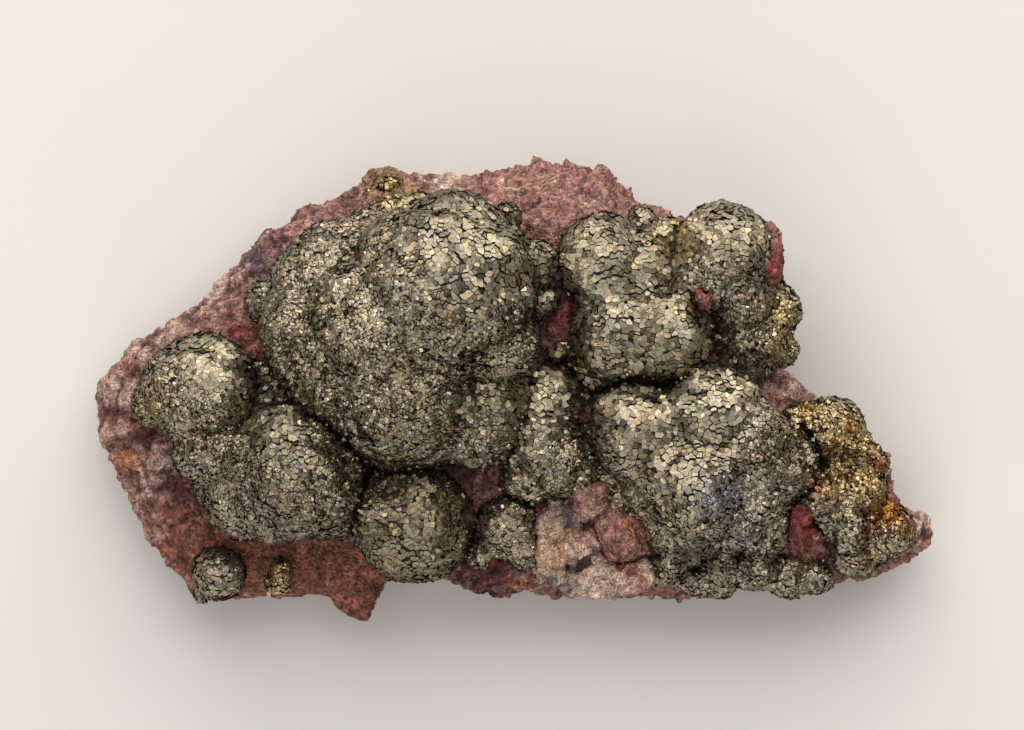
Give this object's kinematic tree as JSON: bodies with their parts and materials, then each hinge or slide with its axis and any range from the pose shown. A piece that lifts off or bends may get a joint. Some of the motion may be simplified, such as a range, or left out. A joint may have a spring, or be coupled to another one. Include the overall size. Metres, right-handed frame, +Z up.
{
  "type": "pyrite specimen on matrix rock",
  "caption": "Loose mineral specimen: rounded lumps of plated metallic pyrite grown over a broken slab of pink rock, lying on its flat broken back.",
  "frame": {"origin": "middle of the bounding box in X and Y, on the plane of the broken back that the specimen lies on", "axes": "+Z up out of the pyrite side, away from the broken back; +X along the long side, towards the pointed end with blocky crystals; +Y across, towards the edge behind the largest lump"},
  "size_m": [0.1002, 0.0556, 0.0371],
  "materials": {
    "pyrite": "metallic, pale brass grey, rough with fine crystal plates and dark cracks between them",
    "brassy_pyrite": "metallic, yellower brass, blocky crystals with iron-stained hollows",
    "rock": "matte pink and dark red volcanic rock, grainy, paler along its rim",
    "vein": "satin pale pink to cream vein mineral"
  },
  "bodies": {
    "root": {"rock_matrix": "rock", "pale_vein": "vein", "pyrite_main_cluster": "pyrite", "pyrite_left_cluster": "pyrite", "pyrite_lower_right_cluster": "pyrite", "pyrite_upper_right_cluster": "pyrite", "pyrite_right_end_crystals": "brassy_pyrite", "pyrite_round_ball": "pyrite", "pyrite_middle_cluster": "pyrite", "pyrite_small_ball": "pyrite", "pyrite_small_twin": "brassy_pyrite", "pyrite_top_patch": "brassy_pyrite"}
  },
  "joints": []
}
